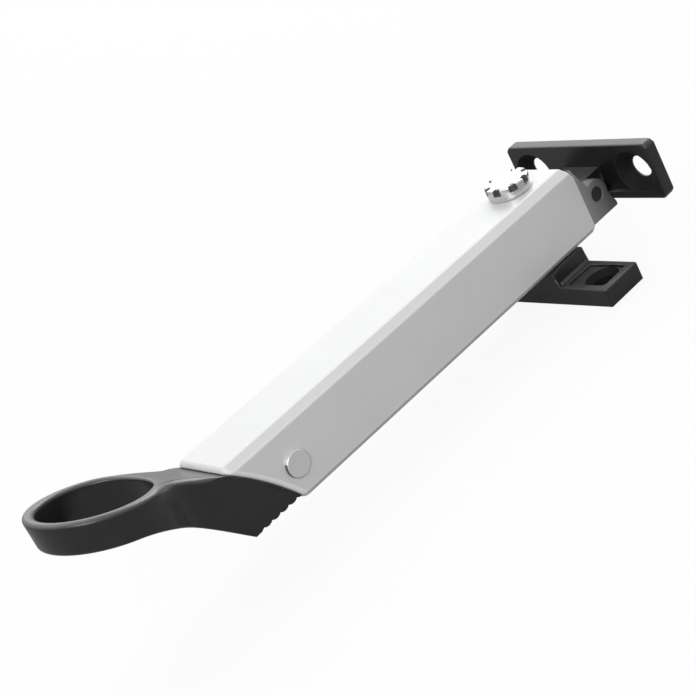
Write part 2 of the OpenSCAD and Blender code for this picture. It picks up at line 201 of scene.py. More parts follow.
# Painted light for the grey nylon's fade
PAINTED_LIGHT_GREY = (0.34, 0.34, 0.345, 1)
# Dust together with painted top light on upward faces
DUST_AND_TOP_LIGHT_GREY = (0.5, 0.49, 0.47, 1)
BLOOM_GREY = (0.45, 0.46, 0.48, 1)
WORN_GREY = (0.36, 0.35, 0.33, 1)

# Scales of the shader patterns, for coordinates in metres
FLOW_SCALE = 160.0
GRAIN_SCALE = 2600.0
RUB_SCALE = 420.0
DIE_LINE_SCALE = 5200.0
DIE_LINE_STRETCH = 0.012
BROAD_LINE_SCALE = 900.0
BLOOM_SCALE = 95.0
SCUFF_SCALE = 900.0
TOOL_RING_SCALE = 1400.0
SPECK_SCALE = 1400.0
CLOUD_SCALE = 260.0

# Depth of the finest relief
FINE_RELIEF = 0.02 * MM

# Light on the object, and the share of the white floor that polished metal shows
FLOOR_Z = -0.2 * MM
FLOOR_HALF = 6.0
SHADOW_WHITE = 0.95
AMBIENT_LEVEL = 0.45
FLOOR_GREY = 0.38
FLOOR_SHINE = 0.2
FLOOR_WHITE = 0.91
KEY_POWER = 1.0
FILL_POWER = 3.7
REAR_POWER = 4.2
BACK_POWER = 1.0
LAMP_AIM = (0, -0.04, 0.02)


def place_camera():
    """Camera with the photograph's direction and roll: its axes are right, up and back."""
    azimuth, elevation, roll = (math.radians(v) for v in (VIEW_AZIMUTH, VIEW_ELEVATION, VIEW_ROLL))
    back = Vector((math.sin(azimuth) * math.cos(elevation),
                   -math.cos(azimuth) * math.cos(elevation),
                   math.sin(elevation)))
    level = Vector((math.cos(azimuth), math.sin(azimuth), 0.0))
    upright = back.cross(level)
    right = math.cos(roll) * level + math.sin(roll) * upright
    up = math.cos(roll) * upright - math.sin(roll) * level
    data = bpy.data.cameras.new("camera")
    data.lens = LENS_MM
    data.sensor_width = SENSOR_MM
    data.clip_start = 10 * MM
    camera = bpy.data.objects.new("camera", data)
    turn = Matrix((right, up, back)).transposed().to_4x4()
    camera.matrix_world = Matrix.Translation(VIEW_AIM + back * VIEW_DISTANCE) @ turn
    bpy.context.scene.collection.objects.link(camera)
    bpy.context.scene.camera = camera


def area_lamp(name, place, target, size, power):
    """Soft square lamp at place, facing target. The camera doesn't see it."""
    data = bpy.data.lights.new(name, "AREA")
    data.shape = "SQUARE"
    data.size = size
    data.energy = power
    lamp = bpy.data.objects.new(name, data)
    lamp.location = place
    lamp.rotation_euler = (Vector(target) - Vector(place)).to_track_quat("-Z", "Y").to_euler()
    lamp.visible_camera = False
    bpy.context.scene.collection.objects.link(lamp)


class Nodes:
    """Small helper that adds and joins shader nodes in one tree."""

    def __init__(self, tree):
        self.tree = tree
        tree.nodes.clear()

    def add(self, kind, **settings):
        node = self.tree.nodes.new(kind)
        for name, value in settings.items():
            setattr(node, name, value)
        return node

    def link(self, source, target):
        self.tree.links.new(source, target)

    def math(self, operation, first, second=0.5):
        node = self.add("ShaderNodeMath", operation=operation)
        for socket, value in zip(node.inputs, (first, second)):
            self.feed(socket, value)
        return node.outputs[0]

    def feed(self, socket, value):
        if isinstance(value, bpy.types.NodeSocket):
            self.link(value, socket)
        else:
            socket.default_value = value

    def noise(self, vector, scale, detail=3.0, roughness=0.5):
        node = self.add("ShaderNodeTexNoise")
        self.link(vector, node.inputs["Vector"])
        self.feed(node.inputs["Scale"], scale)
        node.inputs["Detail"].default_value = detail
        node.inputs["Roughness"].default_value = roughness
        return node.outputs["Fac"]

    def ramp(self, value, low, high):
        """0 where value is low, 1 where it is high, even between and held beyond."""
        node = self.add("ShaderNodeMapRange")
        self.feed(node.inputs["Value"], value)
        self.feed(node.inputs["From Min"], low)
        self.feed(node.inputs["From Max"], high)
        return node.outputs["Result"]

    def mix(self, amount, first, second):
        node = self.add("ShaderNodeMix", data_type="RGBA")
        self.feed(node.inputs["Factor"], amount)
        self.feed(node.inputs["A"], first)
        self.feed(node.inputs["B"], second)
        return node.outputs["Result"]


def new_group(name, inputs, outputs):
    """Shader group with named sockets: inputs are (name, type, default), outputs are (name, type)."""
    group = bpy.data.node_groups.new(name, "ShaderNodeTree")
    for socket, kind, default in inputs:
        item = group.interface.new_socket(name=socket, in_out="INPUT", socket_type=kind)
        item.default_value = default
    for socket, kind in outputs:
        group.interface.new_socket(name=socket, in_out="OUTPUT", socket_type=kind)
    nodes = Nodes(group)
    return group, nodes, nodes.add("NodeGroupInput"), nodes.add("NodeGroupOutput")


def moulded_skin_group():
    """Moulded nylon: a fine spark-eroded grain, faint flow clouds, slight handling polish, dust and painted
    light.

    The dust, with painted top light, lies on faces that look upwards. Fade lightens the piece towards -Y, in
    full up to Fade Start and not at all from Fade End on, as painted light and shade along the piece."""
    group, n, given, out = new_group(
        "moulded skin",
        [("Colour", "NodeSocketColor", (0.02, 0.02, 0.02, 1)), ("Clouding", "NodeSocketFloat", 0.25),
         ("Roughness", "NodeSocketFloat", 0.42), ("Dust And Top Light", "NodeSocketFloat", 0.0),
         ("Fade", "NodeSocketFloat", 0.0),
         ("Fade Start", "NodeSocketFloat", 0.0), ("Fade End", "NodeSocketFloat", 1.0)],
        [("Colour", "NodeSocketColor"), ("Roughness", "NodeSocketFloat"), ("Height", "NodeSocketFloat")])
    where = n.add("ShaderNodeTexCoord").outputs["Object"]
    clouds = n.noise(where, FLOW_SCALE, detail=4.0)
    grain = n.noise(where, GRAIN_SCALE, detail=2.0)
    rubs = n.noise(where, RUB_SCALE, detail=5.0, roughness=0.65)
    lift = n.math("MULTIPLY", n.ramp(clouds, 0.35, 0.7), given.outputs["Clouding"])
    light = n.mix(0.5, given.outputs["Colour"], CLOUD_GREY)
    axes = n.add("ShaderNodeSeparateXYZ")
    n.link(where, axes.inputs["Vector"])
    # Painted light and shade: lighter towards -Y, in full before the start and none past the end
    reach = n.ramp(axes.outputs["Y"], given.outputs["Fade Start"], given.outputs["Fade End"])
    painted_light = n.math("MULTIPLY", n.math("SUBTRACT", 1.0, reach), given.outputs["Fade"])
    body = n.mix(painted_light, n.mix(lift, given.outputs["Colour"], light), PAINTED_LIGHT_GREY)
    facing = n.add("ShaderNodeSeparateXYZ")
    n.link(n.add("ShaderNodeNewGeometry").outputs["Normal"], facing.inputs["Vector"])
    # Upward faces lighten: dust together with painted top light
    dust_and_top_light = n.math("MULTIPLY", n.ramp(facing.outputs["Z"], 0.3, 0.95), given.outputs["Dust And Top Light"])
    patches = n.math("ADD", n.math("MULTIPLY", rubs, 0.8), 0.6)
    n.link(n.mix(n.math("MULTIPLY", dust_and_top_light, patches), body, DUST_AND_TOP_LIGHT_GREY), out.inputs["Colour"])
    change = n.math("MULTIPLY", n.math("SUBTRACT", rubs, 0.5), 0.22)
    n.link(n.math("ADD", given.outputs["Roughness"], change), out.inputs["Roughness"])
    low = n.math("MULTIPLY", clouds, 0.5)
    n.link(n.math("ADD", grain, low), out.inputs["Height"])
    return group


def drawn_metal_group():
    """Extruded or drawn metal: die lines along the Y axis, a soft bloom and fine scuffs."""
    group, n, given, out = new_group(
        "drawn metal",
        [("Colour", "NodeSocketColor", (0.8, 0.8, 0.8, 1)), ("Line Depth", "NodeSocketFloat", 0.5),
         ("Bloom", "NodeSocketFloat", 0.1), ("Roughness", "NodeSocketFloat", 0.35)],
        [("Colour", "NodeSocketColor"), ("Roughness", "NodeSocketFloat"), ("Height", "NodeSocketFloat")])
    where = n.add("ShaderNodeTexCoord").outputs["Object"]
    stretch = n.add("ShaderNodeMapping")
    stretch.inputs["Scale"].default_value = (1.0, DIE_LINE_STRETCH, 1.0)
    n.link(where, stretch.inputs["Vector"])
    lines = n.noise(stretch.outputs["Vector"], DIE_LINE_SCALE, detail=5.0, roughness=0.7)
    broad = n.noise(stretch.outputs["Vector"], BROAD_LINE_SCALE, detail=3.0)
    bloom = n.noise(where, BLOOM_SCALE, detail=5.0, roughness=0.6)
    scuffs = n.noise(where, SCUFF_SCALE, detail=6.0, roughness=0.75)
    dull = n.mix(0.5, given.outputs["Colour"], BLOOM_GREY)
    amount = n.math("MULTIPLY", n.ramp(bloom, 0.35, 0.75), given.outputs["Bloom"])
    n.link(n.mix(amount, given.outputs["Colour"], dull), out.inputs["Colour"])
    spread = n.math("ADD", n.math("SUBTRACT", scuffs, 0.5), n.math("SUBTRACT", broad, 0.5))
    change = n.math("MULTIPLY", spread, 0.16)
    n.link(n.math("ADD", given.outputs["Roughness"], change), out.inputs["Roughness"])
    ridges = n.math("ADD", n.math("MULTIPLY", lines, given.outputs["Line Depth"]),
                    n.math("MULTIPLY", broad, 0.35))
    n.link(n.math("ADD", ridges, n.math("MULTIPLY", scuffs, 0.12)), out.inputs["Height"])
    return group


def turned_metal_group():
    """Turned and plated metal: fine rings round the Z axis through the origin, with specks of wear."""
    group, n, given, out = new_group(
        "turned metal",
        [("Colour", "NodeSocketColor", (0.8, 0.8, 0.8, 1)), ("Ring Depth", "NodeSocketFloat", 0.5),
         ("Roughness", "NodeSocketFloat", 0.2)],
        [("Colour", "NodeSocketColor"), ("Roughness", "NodeSocketFloat"), ("Height", "NodeSocketFloat")])
    where = n.add("ShaderNodeTexCoord").outputs["Object"]
    rings = n.add("ShaderNodeTexWave", wave_type="RINGS", rings_direction="Z", wave_profile="SIN")
    rings.inputs["Scale"].default_value = TOOL_RING_SCALE
    rings.inputs["Distortion"].default_value = 1.5
    rings.inputs["Detail"].default_value = 2.0
    n.link(where, rings.inputs["Vector"])
    specks = n.noise(where, SPECK_SCALE, detail=4.0, roughness=0.7)
    cloud = n.noise(where, CLOUD_SCALE, detail=3.0)
    worn = n.mix(0.35, given.outputs["Colour"], WORN_GREY)
    n.link(n.mix(n.ramp(specks, 0.6, 0.8), given.outputs["Colour"], worn), out.inputs["Colour"])
    change = n.math("MULTIPLY", n.math("SUBTRACT", cloud, 0.5), 0.2)
    n.link(n.math("ADD", given.outputs["Roughness"], change), out.inputs["Roughness"])
    height = n.math("MULTIPLY", rings.outputs["Fac"], given.outputs["Ring Depth"])
    n.link(n.math("ADD", height, n.math("MULTIPLY", specks, 0.4)), out.inputs["Height"])
    return group


def finish_material(name, group, values, bump, bump_reach, metallic=0.0, specular=0.5):
    """Principled material whose colour, roughness and relief come from one effect group."""
    material = bpy.data.materials.new(name)
    material.use_nodes = True
    n = Nodes(material.node_tree)
    effect = n.add("ShaderNodeGroup", node_tree=group)
    for socket, value in values.items():
        effect.inputs[socket].default_value = value
    relief = n.add("ShaderNodeBump")
    relief.inputs["Strength"].default_value = bump
    relief.inputs["Distance"].default_value = bump_reach
    shader = n.add("ShaderNodeBsdfPrincipled")
    shader.inputs["Metallic"].default_value = metallic
    shader.inputs["Specular IOR Level"].default_value = specular
    n.link(effect.outputs["Colour"], shader.inputs["Base Color"])
    n.link(effect.outputs["Roughness"], shader.inputs["Roughness"])
    n.link(effect.outputs["Height"], relief.inputs["Height"])
    n.link(relief.outputs["Normal"], shader.inputs["Normal"])
    n.link(shader.outputs["BSDF"], n.add("ShaderNodeOutputMaterial").inputs["Surface"])
    return material


def make_materials():
    """Every finish of the stay, by name."""
    skin = moulded_skin_group()
    drawn = drawn_metal_group()
    lathed = turned_metal_group()
    return {
        # Its dust amount is dust together with painted top light on upward faces
        "black_nylon": finish_material(
            "black nylon", skin,
            {"Colour": (0.011, 0.011, 0.0115, 1), "Clouding": 0.1, "Roughness": 0.3, "Dust And Top Light": 0.13},
            0.22, FINE_RELIEF),
        # Black nylon for the handle, with more painted top light on its upward faces
        "handle_nylon_top_lit": finish_material(
            "handle black nylon, painted top light", skin,
            {"Colour": (0.011, 0.011, 0.0115, 1), "Clouding": 0.1, "Roughness": 0.3, "Dust And Top Light": 0.27},
            0.22, FINE_RELIEF),
        # Its fade is painted light and shade: lighter near the tube, darker towards the plate
        "grey_nylon": finish_material(
            "grey nylon", skin,
            {"Colour": (0.06, 0.06, 0.061, 1), "Clouding": 0.3, "Roughness": 0.45, "Fade": 1.0,
             "Fade Start": 8.6 * MM, "Fade End": 17.2 * MM},
            0.3, FINE_RELIEF),
        # Painted shade: a near-black, duller nylon for the countersinks and bores
        "recess": finish_material(
            "shaded recess", skin,
            {"Colour": (0.004, 0.004, 0.004, 1), "Clouding": 0.05, "Roughness": 0.75},
            0.3, FINE_RELIEF, specular=0.25),
        # Painted shade: a dark finish for the screw's notches, the rivet's lower rim and the washer under the
        # head
        "notch": finish_material(
            "painted notch shade", lathed,
            {"Colour": (0.1, 0.1, 0.1, 1), "Ring Depth": 0.2, "Roughness": 0.6},
            0.3, FINE_RELIEF),
        "shoe_nylon": finish_material(
            "natural nylon", skin,
            {"Colour": (0.72, 0.69, 0.6, 1), "Clouding": 0.12, "Roughness": 0.5},
            0.3, FINE_RELIEF),
        "mill_aluminium": finish_material(
            "satin anodised aluminium", drawn,
            {"Colour": (0.82, 0.825, 0.83, 1), "Line Depth": 0.6, "Bloom": 0.14, "Roughness": 0.4},
            0.22, FINE_RELIEF, metallic=0.2),
        # Near-white edge: rubbed bright aluminium with a painted highlight, on the tube's roundings
        "rubbed_edge_highlight": finish_material(
            "rubbed aluminium edge with painted highlight", drawn,
            {"Colour": (0.97, 0.97, 0.975, 1), "Line Depth": 0.3, "Bloom": 0.05, "Roughness": 0.5},
            0.15, FINE_RELIEF),
        "rivet_aluminium": finish_material(
            "set rivet", lathed,
            {"Colour": (0.78, 0.785, 0.79, 1), "Ring Depth": 0.1, "Roughness": 0.34},
            0.3, FINE_RELIEF, metallic=0.6),
        "bright_metal": finish_material(
            "bright nickel", lathed,
            {"Colour": (0.62, 0.62, 0.615, 1), "Ring Depth": 0.5, "Roughness": 0.24},
            0.25, FINE_RELIEF, metallic=1.0),
        "steel_pin": finish_material(
            "ground steel", lathed,
            {"Colour": (0.5, 0.5, 0.51, 1), "Ring Depth": 0.15, "Roughness": 0.32},
            0.3, FINE_RELIEF, metallic=1.0),
        "black_pin": finish_material(
            "blackened pin", lathed,
            {"Colour": (0.05, 0.05, 0.052, 1), "Ring Depth": 0.15, "Roughness": 0.45},
            0.3, FINE_RELIEF, metallic=0.6),
        "spring_steel": finish_material(
            "tempered strip", drawn,
            {"Colour": (0.34, 0.36, 0.4, 1), "Line Depth": 0.4, "Bloom": 0.3, "Roughness": 0.3},
            0.25, FINE_RELIEF, metallic=1.0),
        "brass": finish_material(
            "turned brass", lathed,
            {"Colour": (0.76, 0.56, 0.24, 1), "Ring Depth": 0.5, "Roughness": 0.3},
            0.3, FINE_RELIEF, metallic=1.0),
    }


def dress(piece, *materials):
    """Give the piece these materials. All its faces go back to the first one."""
    piece.data.materials.clear()
    for material in materials:
        piece.data.materials.append(material)


def new_piece(name, mesh, *materials):
    """Object for the mesh, at the origin and unturned, with its materials."""
    piece = bpy.data.objects.new(name, mesh)
    bpy.context.scene.collection.objects.link(piece)
    dress(piece, *materials)
    return piece


def shade_smooth(mesh):
    """Smooth shading over the whole mesh, broken only at edges above EDGE_ANGLE."""
    mesh.polygons.foreach_set("use_smooth", np.ones(len(mesh.polygons), dtype=bool))
    mesh.set_sharp_from_angle(angle=EDGE_ANGLE)


def face_centres(mesh):
    """The middle of each face, in mm, as an array of points."""
    middle = np.empty(len(mesh.polygons) * 3)
    mesh.polygons.foreach_get("center", middle)
    return middle.reshape(-1, 3) / MM


def everything(work):
    """All points, edges and faces of the mesh that is being worked on."""
    return work.verts[:] + work.edges[:] + work.faces[:]


def is_seam(edge, split_at):
    """An edge inside a flat face that doesn't lie in one of the splitting planes."""
    if len(edge.link_faces) < 2 or abs(edge.calc_face_angle_signed(0.0)) > FLAT_ANGLE:
        return False
    return not any(all(abs(vert.co.y / MM - y) < ON_PLANE for vert in edge.verts) for y in split_at)


def rounded(node, name, width_of, materials, recess_of=None, from_y=None, split_at=()):
    """The CAD solid with every sharp outer edge rounded by its own width.

    The copy's loose triangles are merged and its flat faces joined. An edge that turns outwards by
    more than EDGE_ANGLE gets the width that width_of gives for its middle and its direction, in mm,
    and a weighted bevel rounds it. Weaker creases stay sharp in shading, and flat faces shade flat
    right up to their roundings. A second material goes on the faces that recess_of picks, as painted
    shade in countersinks, or else on the roundings, as the tube's painted highlight. from_y keeps only
    the part beyond that plane, closed with a cap. split_at lists places along Y where flat faces are
    divided straight across, so that no slanting seam runs from their holes."""
    mesh = frame["nodes"][node].data.copy()
    piece = new_piece(name, mesh, *materials)
    work = bmesh.new()
    work.from_mesh(mesh)
    bmesh.ops.remove_doubles(work, verts=work.verts, dist=MERGE_DISTANCE)
    bmesh.ops.dissolve_limit(work, angle_limit=FLAT_ANGLE, verts=work.verts, edges=work.edges,
                             delimit={"NORMAL"})
    for y in split_at:
        bmesh.ops.bisect_plane(work, geom=everything(work), plane_co=(0, y * MM, 0), plane_no=(0, 1, 0))
    if split_at:
        seams = [edge for edge in work.edges if is_seam(edge, split_at)]
        bmesh.ops.dissolve_edges(work, edges=seams, use_verts=False)
    if from_y is not None:
        cut = bmesh.ops.bisect_plane(work, geom=everything(work), plane_co=(0, from_y * MM, 0),
                                     plane_no=(0, -1, 0), clear_outer=True)
        rim = [item for item in cut["geom_cut"] if isinstance(item, bmesh.types.BMEdge)]
        bmesh.ops.contextual_create(work, geom=rim)
        bmesh.ops.recalc_face_normals(work, faces=work.faces)
    work.edges.index_update()
    widths = {}
    for edge in work.edges:
        turn = edge.calc_face_angle_signed(0.0)
        first, last = (vert.co / MM for vert in edge.verts)
        if turn > EDGE_ANGLE:
            widths[edge.index] = width_of((first + last) / 2, (last - first).normalized())
        elif abs(turn) > CREASE_ANGLE:
            edge.smooth = False
    for edge in work.edges:
        if abs(edge.calc_face_angle_signed(0.0)) > EDGE_ANGLE and not widths.get(edge.index):
            edge.smooth = False
    widest = max(widths.values())
    weight = work.edges.layers.float.new("bevel_weight_edge")
    for edge in work.edges:
        edge[weight] = widths.get(edge.index, 0.0) / widest
    for face in work.faces:
        face.smooth = True
        if recess_of and recess_of(face.calc_center_median() / MM, face.normal):
            face.material_index = 1
    work.to_mesh(mesh)
    work.free()
    rounding = piece.modifiers.new("rounding", "BEVEL")
    rounding.width = widest * MM
    rounding.segments = ROUND_SEGMENTS
    rounding.limit_method = "WEIGHT"
    rounding.harden_normals = True
    rounding.use_clamp_overlap = False
    flattening = piece.modifiers.new("flat faces", "WEIGHTED_NORMAL")
    flattening.mode = "FACE_AREA"
    flattening.weight = FLAT_FACE_WEIGHT
    flattening.keep_sharp = True
    if len(materials) > 1 and not recess_of:
        rounding.material = 1
    return piece


def replace_node(piece, node, body):
    """Let the piece ride on the body and stand for the CAD node."""
    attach(piece, body)
    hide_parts(node)


# Each width function gives the rounding of a CAD edge, in mm, from the edge's middle and direction
def shoulder_width(middle, along):
    """Crisp shoulder edges and serrations, and none where the neck joins on."""
    if middle.y < NECK_LOW_END[0] + NEAR:
        return 0.0
    return TOOTH_ROUND if middle.z < NECK_LOW_END[1] + TOOTH_BAND else SHOULDER_ROUND


def tube_width(middle, along):
    """Soft long arrises, a rubbed lip along the hollow cut, and a fine break along the slot; their roundings
    take the near-white edge, rubbed aluminium with a painted highlight.
    """
    side = abs(middle.x) > tube_half - NEAR
    roof = abs(middle.z - tube_axis) > tube_half - NEAR
    arris = abs(abs(middle.x) + abs(middle.z - tube_axis) - (2 * tube_half - TUBE_BEVEL)) < NEAR
    at_rivet = math.hypot(middle.y - rivet_y, middle.z - rivet_z) < rivet_radius
    at_insert = middle.z > tube_axis and math.hypot(middle.x, middle.y) < INSERT_HOLE_REACH
    if at_rivet or at_insert or not (side or roof or arris):
        return 0.0
    if abs(along.y) > LENGTHWISE:
        return SLOT_ROUND if abs(middle.x) < tube_half / 2 else ARRIS_ROUND
    if middle.y < tube_inner_end + CUT_RUN:
        return CUT_ROUND
    return OUTER_END_ROUND if middle.y > tube_outer_end - OUTER_END_BAND else 0.0


def plate_width(middle, along):
    """Soft outline, finer edges at the countersinks and the tongue."""
    outline = (abs(middle.x) > plate_half - OUTLINE_BAND or middle.z > plate_top - OUTLINE_BAND
               or middle.z < plate_low + OUTLINE_BAND)
    return MOULD_ROUND if outline and middle.y > plate_front - PLATE_FACE_BAND else MOULD_FINE_ROUND


def bracket_width(middle, along):
    """Soft outline of the foot and crown, finer edges in the recesses and on the lug, and crisp
    countersinks, because they run out into the recess walls."""
    if math.hypot(abs(middle.x) - FOOT_HOLE_X, middle.y) < FOOT_SINK_REACH:
        return 0.0
    outline = abs(middle.x) > foot_half - FOOT_SIDE_BAND or abs(middle.y) > foot_depth - FOOT_SIDE_BAND
    return MOULD_ROUND if outline and middle.z > FOOT_FLOOR_BAND else MOULD_FINE_ROUND


def nose_width(middle, along):
    """Soft cheeks, finer edges inside the tube."""
    return NOSE_ROUND if middle.y > tube_outer_end + NEAR else MOULD_FINE_ROUND


def plate_recess(middle, normal):
    """The countersink cones of the sash plate, which take the painted shade."""
    reach = math.hypot(abs(middle.x) - PLATE_HOLE_X, middle.z - plate_mid)
    return CONE_STEEP < -normal.y < CONE_SHALLOW and reach < PLATE_CONE_REACH


def bracket_recess(middle, normal):
    """The countersinks and bores of the sill bracket, which take the painted shade."""
    reach = math.hypot(abs(middle.x) - FOOT_HOLE_X, middle.y)
    return abs(normal.z) < CONE_SHALLOW and reach < FOOT_CONE_REACH


def smooth_step(value, start, end):
    """0 below start, 1 above end, and an even S-curve between."""
    t = np.clip((value - start) / (end - start), 0, 1)
    return t * t * (3 - 2 * t)


def bezier(start, first, second, end, count=48):
    """Cubic curve from start to end with two control points, as an array of points."""
    t = np.linspace(0, 1, count)[:, None]
    start, first, second, end = map(np.array, (start, first, second, end))
    return (1 - t) ** 3 * start + 3 * (1 - t) ** 2 * t * first + 3 * (1 - t) * t ** 2 * second + t ** 3 * end


def ring_plane(y):
    """Height of the tilted ring's upper face at y."""
    return RING_TOP + (RING_Y - y) * math.tan(RING_TILT)


def upper_height(y):
    """Upper face of ring and neck: the ring's plane, then an S-curve down to the tube's roof."""
    join = RING_Y + RING_OUTER / 2
    lean = NECK_TOP_REACH * np.array((-math.cos(NECK_TOP_ANGLE), math.sin(NECK_TOP_ANGLE)))
    along = NECK_TOP_REACH * np.array((math.cos(RING_TILT), -math.sin(RING_TILT)))
    last = np.array((join, ring_plane(join)))
    curve = bezier(last, last + along, NECK_TOP_END + lean, NECK_TOP_END)
    return np.where(y < join, ring_plane(y), np.interp(y, curve[:, 0], curve[:, 1]))


def lower_height(y):
    """Underside of ring and neck: parallel to the ring's plane, then an S-curve to the shoulder."""
    join = RING_Y - RING_OUTER / 8
    lean = NECK_LOW_REACH * np.array((-math.cos(NECK_LOW_ANGLE), math.sin(NECK_LOW_ANGLE)))
    along = NECK_LOW_REACH * np.array((math.cos(RING_TILT), -math.sin(RING_TILT)))
    first = np.array((join, ring_plane(join) - RING_HEIGHT))
    curve = bezier(first, first + along, NECK_LOW_END + lean, NECK_LOW_END)
    return np.where(y < join, ring_plane(y) - RING_HEIGHT, np.interp(y, curve[:, 0], curve[:, 1]))


def handle_outline():
    """Plan of neck and ring as a clockwise loop, from the neck's right corner round the ring and back
    along the flat joint: points, unit normals pointing inwards, and each point's turn round the hole."""
    start = np.array((SHOULDER_HALF, NECK_LOW_END[0]))
    waist = np.array(WAIST)
    meet = np.array((RING_OUTER * math.cos(NECK_FLARE), RING_Y + RING_OUTER * math.sin(NECK_FLARE)))
    half = np.array((0, (start[1] - waist[1]) / 2))
    reach = (waist[1] - meet[1]) / 2
    flare = np.array((-math.sin(NECK_FLARE), math.cos(NECK_FLARE)))
    upper = bezier(start, start - half, waist + half, waist)
    lower = bezier(waist, waist - np.array((0, reach)), meet + reach * flare, meet)
    side = np.concatenate([upper, lower[1:]])
    arc = np.linspace(NECK_FLARE, -math.pi / 2, ARC_POINTS)[1:]
    ring = np.stack([RING_OUTER * np.cos(arc), RING_Y + RING_OUTER * np.sin(arc)], axis=-1)
    right = np.concatenate([side, ring])
    left = right[-2::-1] * (-1, 1)
    inset = SHOULDER_HALF - SHOULDER_ROUND
    joint = np.stack([np.linspace(-inset, inset, JOINT_POINTS), np.full(JOINT_POINTS, start[1])], axis=-1)
    loop = np.concatenate([right, left, joint])
    travel = np.roll(loop, -1, axis=0) - np.roll(loop, 1, axis=0)
    travel[0] = (0, -1)
    travel[len(right) + len(left) - 1] = (0, 1)
    travel[-JOINT_POINTS:] = (1, 0)
    inward = np.stack([travel[:, 1], -travel[:, 0]], axis=-1)
    inward = inward / np.linalg.norm(inward, axis=1)[:, None]
    run = np.linspace(0, 1, len(side)) ** SIDE_TURN_POWER
    turn_side = JOINT_FIRST_TURN + run * (math.pi / 2 - NECK_FLARE - JOINT_FIRST_TURN)
    turn_right = np.concatenate([turn_side, math.pi / 2 - arc])
    turn_left = 2 * math.pi - turn_right[-2::-1]
    turn_joint = 2 * math.pi + np.linspace(-JOINT_HALF_TURN, JOINT_HALF_TURN, JOINT_POINTS)
    return loop, inward, np.concatenate([turn_right, turn_left, turn_joint])


def ring_and_neck(material):
    """Ring and neck as one closed skin, a grid of turn round the hole by way round the section.

    A section starts at the foot of the finger hole's wall, goes up the wall and over its rounded rim,
    across the upper face to the outline, over the outline's rounding, down the outer wall, under its
    lower rounding and back across the underside. Heights come from the two S-curves, and a rounding
    of radius r puts a point at r (1 - cos a) inwards and r (1 - sin a) below the face. The outline's
    upper radius swells from the crisp shoulder to a soft neck and thins again to the ring's rim."""
    outline, inward, turn = handle_outline()
    y = outline[:, 1]
    at_joint = np.arange(len(y)) >= len(y) - JOINT_POINTS
    away = NECK_LOW_END[0] - y
    swell = smooth_step(away, *SWELL)
    thin = smooth_step(away, *THIN)
    over = SHOULDER_ROUND + swell * (NECK_ROUND - SHOULDER_ROUND) - thin * (NECK_ROUND - RING_ROUND)
    under = SHOULDER_ROUND + swell * (RING_LOW_ROUND - SHOULDER_ROUND)
    over = np.where(at_joint, 0.0, over)[:, None]
    under = np.where(at_joint, 0.0, under)[:, None]
    out = np.stack([np.sin(turn), np.cos(turn)], axis=-1)
    centre = np.array((0.0, RING_Y))
    crowd = 2 - smooth_step(away, *CROWD)

    def row(plan, height):
        return np.concatenate([plan, height[:, None]], axis=1)

    def across(share, rim, inset):
        """Plan point a share of the way from the hole's rim to the outline's rounding."""
        near = centre + (RING_INNER + rim) * out
        far = outline + inset * inward
        return np.stack([near[:, 0] + (far[:, 0] - near[:, 0]) * share ** crowd,
                         near[:, 1] + (far[:, 1] - near[:, 1]) * share], axis=-1)

    bend = np.linspace(0, math.pi / 2, ROUND_POINTS)
    rows = []
    wall = centre + RING_INNER * out
    low_wall = lower_height(wall[:, 1]) + RING_LOW_ROUND
    high_wall = upper_height(wall[:, 1]) - RING_HOLE_ROUND
    rows += [row(wall, low_wall + (high_wall - low_wall) * share)
             for share in np.linspace(0, 1, HOLE_WALL_POINTS)]
    for a in bend[1:]:
        plan = centre + (RING_INNER + RING_HOLE_ROUND * (1 - math.cos(a))) * out
        rows.append(row(plan, upper_height(plan[:, 1]) - RING_HOLE_ROUND * (1 - math.sin(a))))
    for share in np.linspace(0, 1, FACE_POINTS)[1:]:
        plan = across(share, RING_HOLE_ROUND, over)
        rows.append(row(plan, upper_height(plan[:, 1])))
    for a in bend[-2::-1]:
        plan = outline + over * (1 - math.cos(a)) * inward
        rows.append(row(plan, upper_height(plan[:, 1]) - over[:, 0] * (1 - math.sin(a))))
    high, low = upper_height(y) - over[:, 0], lower_height(y) + under[:, 0]
    rows += [row(outline, high + (low - high) * share)
             for share in np.linspace(0, 1, OUTER_WALL_POINTS)[1:]]
    for a in bend[1:]:
        plan = outline + under * (1 - math.cos(a)) * inward
        rows.append(row(plan, lower_height(plan[:, 1]) + under[:, 0] * (1 - math.sin(a))))
    for share in np.linspace(1, 0, FACE_POINTS)[1:]:
        plan = across(share, RING_LOW_ROUND, under)
        rows.append(row(plan, lower_height(plan[:, 1])))
    for a in bend[-2:0:-1]:
        plan = centre + (RING_INNER + RING_LOW_ROUND * (1 - math.cos(a))) * out
        rows.append(row(plan, lower_height(plan[:, 1]) + RING_LOW_ROUND * (1 - math.sin(a))))
    points = np.stack(rows)
    count, columns = points.shape[:2]
    here = np.arange(count)[:, None] * columns + np.arange(columns)[None, :]
    beside, above = np.roll(here, -1, axis=1), np.roll(here, -1, axis=0)
    quads = np.stack([here, above, np.roll(above, -1, axis=1), beside], axis=-1).reshape(-1, 4)
    mesh = bpy.data.meshes.new("ring_and_neck")
    mesh.from_pydata((points.reshape(-1, 3) * MM).tolist(), [], quads.tolist())
    work = bmesh.new()
    work.from_mesh(mesh)
    bmesh.ops.remove_doubles(work, verts=work.verts, dist=MERGE_DISTANCE)
    work.to_mesh(mesh)
    work.free()
    shade_smooth(mesh)
    return new_piece("ring_and_neck", mesh, material)


